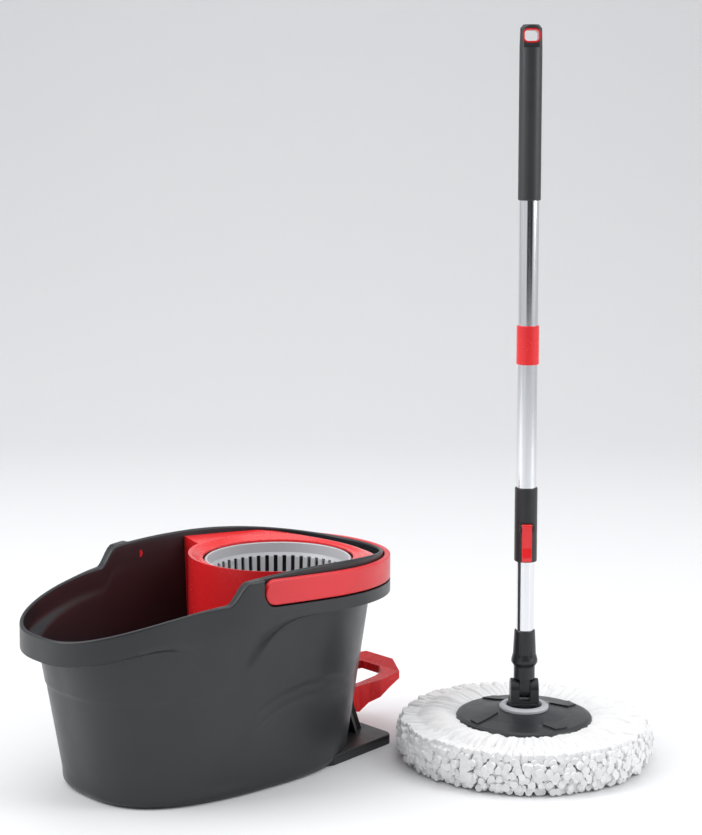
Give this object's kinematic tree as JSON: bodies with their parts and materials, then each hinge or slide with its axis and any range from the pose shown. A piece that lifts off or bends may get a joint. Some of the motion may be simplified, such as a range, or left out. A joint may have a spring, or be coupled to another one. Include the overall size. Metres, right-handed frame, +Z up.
{
  "type": "spin mop",
  "caption": "Bucket with a pedal-driven spinning wringer basket, splash guard and swing handle, with a telescopic mop with a swivel disc head beside it.",
  "frame": {"origin": "on the floor below the spin axis of the wringer, on the underside of the pedal base", "axes": "+X towards the pedal, -X towards the pouring spout, +Z up along the spin axis and the standing mop"},
  "size_m": [0.6785, 0.5095, 0.85],
  "materials": {
    "bucket": "satin moulded polypropylene, fine texture",
    "red": "glossy moulded plastic",
    "red_handle": "satin-gloss moulded plastic",
    "basket": "satin moulded plastic",
    "black": "satin moulded plastic",
    "plate": "satin moulded plastic with raised reliefs",
    "gear": "natural acetal",
    "steel": "ground steel",
    "tube": "bright polished tube",
    "ring": "satin moulded plastic",
    "strands": "looped microfibre strands",
    "seal": "moulded rubber",
    "grip": "satin moulded plastic"
  },
  "bodies": {
    "bucket": {"bucket_body": "bucket", "splash_guard": "red", "pedal_base": "black", "base_screws": "steel", "gear_axle": "steel", "pedal_axle": "steel", "pedal_spring": "steel", "lower_bush": "gear", "upper_bush": "gear", "shaft_seal": "seal"},
    "carry_handle": {"bucket_handle": "red_handle"},
    "foot_pedal": {"pedal": "red", "sector_gear": "black"},
    "gear_pair": {"compound_gear": "gear"},
    "wringer": {"wringer_basket": "basket", "basket_hub": "basket", "one_way_clutch": "steel", "drive_shaft": "steel", "drive_pinion": "gear", "hub_screws": "steel"},
    "yoke": {"swivel_yoke": "black", "hub_bolt": "steel", "tilt_pin": "steel"},
    "mop_head": {"mop_plate": "plate", "hub_ring": "ring", "swivel_bush": "gear", "refill_ring": "ring", "mop_strands": "strands"},
    "lower_handle": {"connector_sleeve": "black", "lower_tube": "tube", "tube_guide": "gear"},
    "upper_handle": {"clamp_body": "black", "clamp_collet": "gear", "lever_pin": "steel", "middle_tube": "tube", "upper_tube": "tube", "tube_collar": "red", "handle_grip": "grip", "hang_loop": "red"},
    "lever": {"clamp_lever": "red"}
  },
  "joints": [
    {"name": "handle_swing", "type": "hinge", "parent": "bucket", "child": "carry_handle", "pos_m": [-0.113, 0, 0.227], "axis": [0, -1, 0], "range_deg": [0, 95]},
    {"name": "pedal_press", "type": "hinge", "parent": "bucket", "child": "foot_pedal", "pos_m": [0.072, 0, 0.044], "axis": [0, 1, 0], "range_deg": [0, 28], "stiffness_Nm_per_rad": 0.6, "springref_deg": -20.05},
    {"name": "gear_spin", "type": "hinge", "parent": "bucket", "child": "gear_pair", "pos_m": [0, 0, 0.044], "axis": [0, 1, 0], "continuous": true},
    {"name": "wringer_spin", "type": "hinge", "parent": "bucket", "child": "wringer", "pos_m": [0, 0, 0.1], "axis": [0, 0, 1], "continuous": true},
    {"name": "mop_lift", "type": "slide", "parent": "bucket", "child": "yoke", "axis": [0, 0, 1], "range_m": [0, 0.35]},
    {"name": "head_swivel", "type": "hinge", "parent": "yoke", "child": "mop_head", "pos_m": [0.192, -0.2192, 0.05], "axis": [0, 0, 1], "continuous": true},
    {"name": "handle_tilt", "type": "hinge", "parent": "yoke", "child": "lower_handle", "pos_m": [0.192, -0.2192, 0.079], "axis": [0.7441, -0.6681, 0], "range_deg": [-60, 60]},
    {"name": "handle_extend", "type": "slide", "parent": "lower_handle", "child": "upper_handle", "axis": [0, 0, 1], "range_m": [0, 0.4]},
    {"name": "lever_open", "type": "hinge", "parent": "upper_handle", "child": "lever", "pos_m": [0.18218, -0.23014, 0.2745], "axis": [-0.7441, 0.6681, 0], "range_deg": [0, 65]}
  ],
  "couplings": [
    {"joint": "gear_spin", "follows": "pedal_press", "ratio": -7},
    {"joint": "wringer_spin", "follows": "pedal_press", "ratio": -28}
  ]
}
